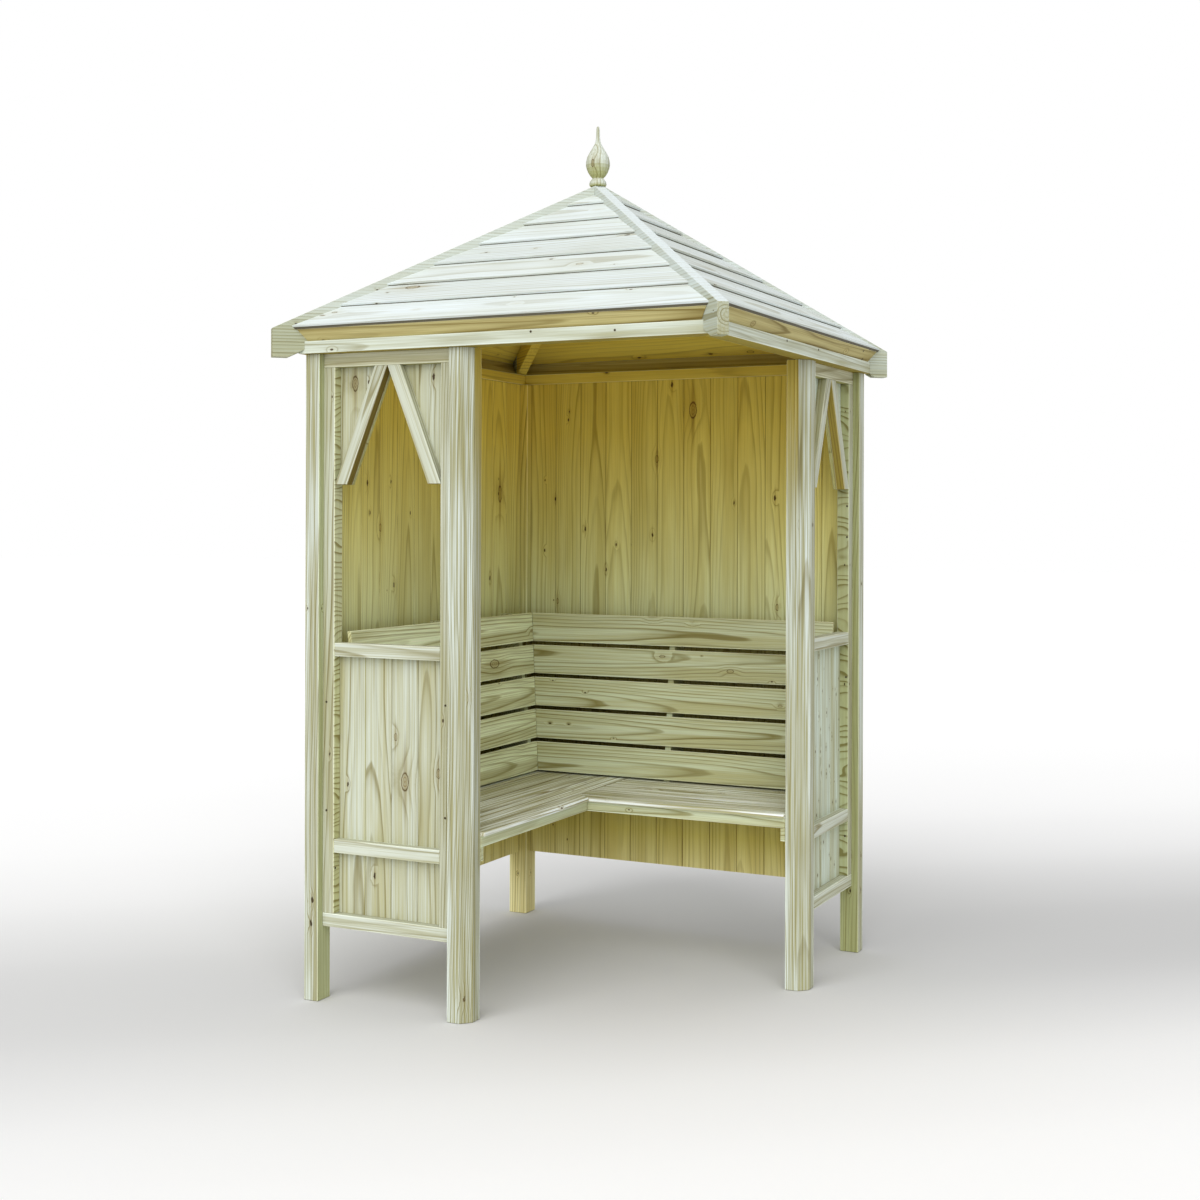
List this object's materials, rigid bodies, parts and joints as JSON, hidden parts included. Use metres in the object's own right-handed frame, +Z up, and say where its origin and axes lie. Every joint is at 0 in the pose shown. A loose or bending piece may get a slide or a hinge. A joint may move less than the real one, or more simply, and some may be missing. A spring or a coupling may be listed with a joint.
{
  "type": "corner arbor",
  "caption": "Free-standing timber corner arbor with boarded back walls, braced side panels, an L-shaped slatted bench and a hipped boarded roof with a turned finial.",
  "frame": {"origin": "on the ground straight below the finial, in the middle of the roof's four corner tails", "axes": "+Z up; +X to the right along the front face; -Y out of the front face; the open entry corner is at +X -Y"},
  "size_m": [1.3898, 1.3898, 2.5439],
  "materials": {
    "bench_left_back_board_1": "planed softwood slats, pressure-treated",
    "bench_left_back_board_2": "planed softwood slats, pressure-treated",
    "bench_left_back_board_3": "planed softwood slats, pressure-treated",
    "bench_left_back_board_4": "planed softwood slats, pressure-treated",
    "bench_left_back_board_5": "planed softwood slats, pressure-treated",
    "bench_left_frame": "planed softwood slats, pressure-treated",
    "bench_left_front_rail": "planed softwood slats, pressure-treated",
    "bench_left_seat": "planed softwood slats, pressure-treated",
    "bench_right_back_board_1": "planed softwood slats, pressure-treated",
    "bench_right_back_board_2": "planed softwood slats, pressure-treated",
    "bench_right_back_board_3": "planed softwood slats, pressure-treated",
    "bench_right_back_board_4": "planed softwood slats, pressure-treated",
    "bench_right_back_board_5": "planed softwood slats, pressure-treated",
    "bench_right_frame": "planed softwood slats, pressure-treated",
    "bench_right_front_rail": "planed softwood slats, pressure-treated",
    "bench_right_seat": "planed softwood slats, pressure-treated",
    "fascia_back": "planed softwood, pressure-treated, darker",
    "fascia_front": "planed softwood, pressure-treated, darker",
    "fascia_left": "planed softwood, pressure-treated, darker",
    "fascia_right": "planed softwood, pressure-treated, darker",
    "finial": "turned softwood, pressure-treated",
    "hip_back": "planed softwood, pressure-treated pale green",
    "hip_front": "planed softwood, pressure-treated pale green",
    "hip_left": "planed softwood, pressure-treated pale green",
    "hip_right": "planed softwood, pressure-treated pale green",
    "left_panel_arm_rail": "planed softwood, pressure-treated pale green",
    "left_panel_boards": "tongue-and-groove softwood, pressure-treated",
    "left_panel_bottom_rail": "planed softwood, pressure-treated pale green",
    "left_panel_brace_entry": "planed softwood, pressure-treated pale green",
    "left_panel_brace_outer": "planed softwood, pressure-treated pale green",
    "left_panel_mid_rail": "planed softwood, pressure-treated pale green",
    "left_panel_spandrel_boards": "tongue-and-groove softwood, pressure-treated",
    "left_panel_stile_entry": "planed softwood, pressure-treated pale green",
    "left_panel_stile_outer": "planed softwood, pressure-treated pale green",
    "left_panel_top_rail": "planed softwood, pressure-treated pale green",
    "plate_back": "planed softwood, pressure-treated pale green",
    "plate_front": "planed softwood, pressure-treated pale green",
    "plate_left": "planed softwood, pressure-treated pale green",
    "plate_right": "planed softwood, pressure-treated pale green",
    "post_back": "planed softwood, pressure-treated pale green",
    "post_corner_left": "planed softwood, pressure-treated pale green",
    "post_corner_right": "planed softwood, pressure-treated pale green",
    "post_entry_left": "planed softwood, pressure-treated pale green",
    "post_entry_right": "planed softwood, pressure-treated pale green",
    "right_panel_arm_rail": "planed softwood, pressure-treated pale green",
    "right_panel_boards": "tongue-and-groove softwood, pressure-treated",
    "right_panel_bottom_rail": "planed softwood, pressure-treated pale green",
    "right_panel_brace_entry": "planed softwood, pressure-treated pale green",
    "right_panel_brace_outer": "planed softwood, pressure-treated pale green",
    "right_panel_mid_rail": "planed softwood, pressure-treated pale green",
    "right_panel_spandrel_boards": "tongue-and-groove softwood, pressure-treated",
    "right_panel_stile_entry": "planed softwood, pressure-treated pale green",
    "right_panel_stile_outer": "planed softwood, pressure-treated pale green",
    "right_panel_top_rail": "planed softwood, pressure-treated pale green",
    "roof_boards_back": "lapped softwood boards, pressure-treated",
    "roof_boards_front": "lapped softwood boards, pressure-treated",
    "roof_boards_left": "lapped softwood boards, pressure-treated",
    "roof_boards_right": "lapped softwood boards, pressure-treated",
    "wall_left_boards": "tongue-and-groove softwood, pressure-treated",
    "wall_right_boards": "tongue-and-groove softwood, pressure-treated"
  },
  "bodies": {
    "root": {"bench_left_back_board_1": "bench_left_back_board_1", "bench_left_back_board_2": "bench_left_back_board_2", "bench_left_back_board_3": "bench_left_back_board_3", "bench_left_back_board_4": "bench_left_back_board_4", "bench_left_back_board_5": "bench_left_back_board_5", "bench_left_frame": "bench_left_frame", "bench_left_front_rail": "bench_left_front_rail", "bench_left_seat": "bench_left_seat", "bench_right_back_board_1": "bench_right_back_board_1", "bench_right_back_board_2": "bench_right_back_board_2", "bench_right_back_board_3": "bench_right_back_board_3", "bench_right_back_board_4": "bench_right_back_board_4", "bench_right_back_board_5": "bench_right_back_board_5", "bench_right_frame": "bench_right_frame", "bench_right_front_rail": "bench_right_front_rail", "bench_right_seat": "bench_right_seat", "fascia_back": "fascia_back", "fascia_front": "fascia_front", "fascia_left": "fascia_left", "fascia_right": "fascia_right", "finial": "finial", "hip_back": "hip_back", "hip_front": "hip_front", "hip_left": "hip_left", "hip_right": "hip_right", "left_panel_arm_rail": "left_panel_arm_rail", "left_panel_boards": "left_panel_boards", "left_panel_bottom_rail": "left_panel_bottom_rail", "left_panel_brace_entry": "left_panel_brace_entry", "left_panel_brace_outer": "left_panel_brace_outer", "left_panel_mid_rail": "left_panel_mid_rail", "left_panel_spandrel_boards": "left_panel_spandrel_boards", "left_panel_stile_entry": "left_panel_stile_entry", "left_panel_stile_outer": "left_panel_stile_outer", "left_panel_top_rail": "left_panel_top_rail", "plate_back": "plate_back", "plate_front": "plate_front", "plate_left": "plate_left", "plate_right": "plate_right", "post_back": "post_back", "post_corner_left": "post_corner_left", "post_corner_right": "post_corner_right", "post_entry_left": "post_entry_left", "post_entry_right": "post_entry_right", "right_panel_arm_rail": "right_panel_arm_rail", "right_panel_boards": "right_panel_boards", "right_panel_bottom_rail": "right_panel_bottom_rail", "right_panel_brace_entry": "right_panel_brace_entry", "right_panel_brace_outer": "right_panel_brace_outer", "right_panel_mid_rail": "right_panel_mid_rail", "right_panel_spandrel_boards": "right_panel_spandrel_boards", "right_panel_stile_entry": "right_panel_stile_entry", "right_panel_stile_outer": "right_panel_stile_outer", "right_panel_top_rail": "right_panel_top_rail", "roof_boards_back": "roof_boards_back", "roof_boards_front": "roof_boards_front", "roof_boards_left": "roof_boards_left", "roof_boards_right": "roof_boards_right", "wall_left_boards": "wall_left_boards", "wall_right_boards": "wall_right_boards"}
  },
  "joints": []
}
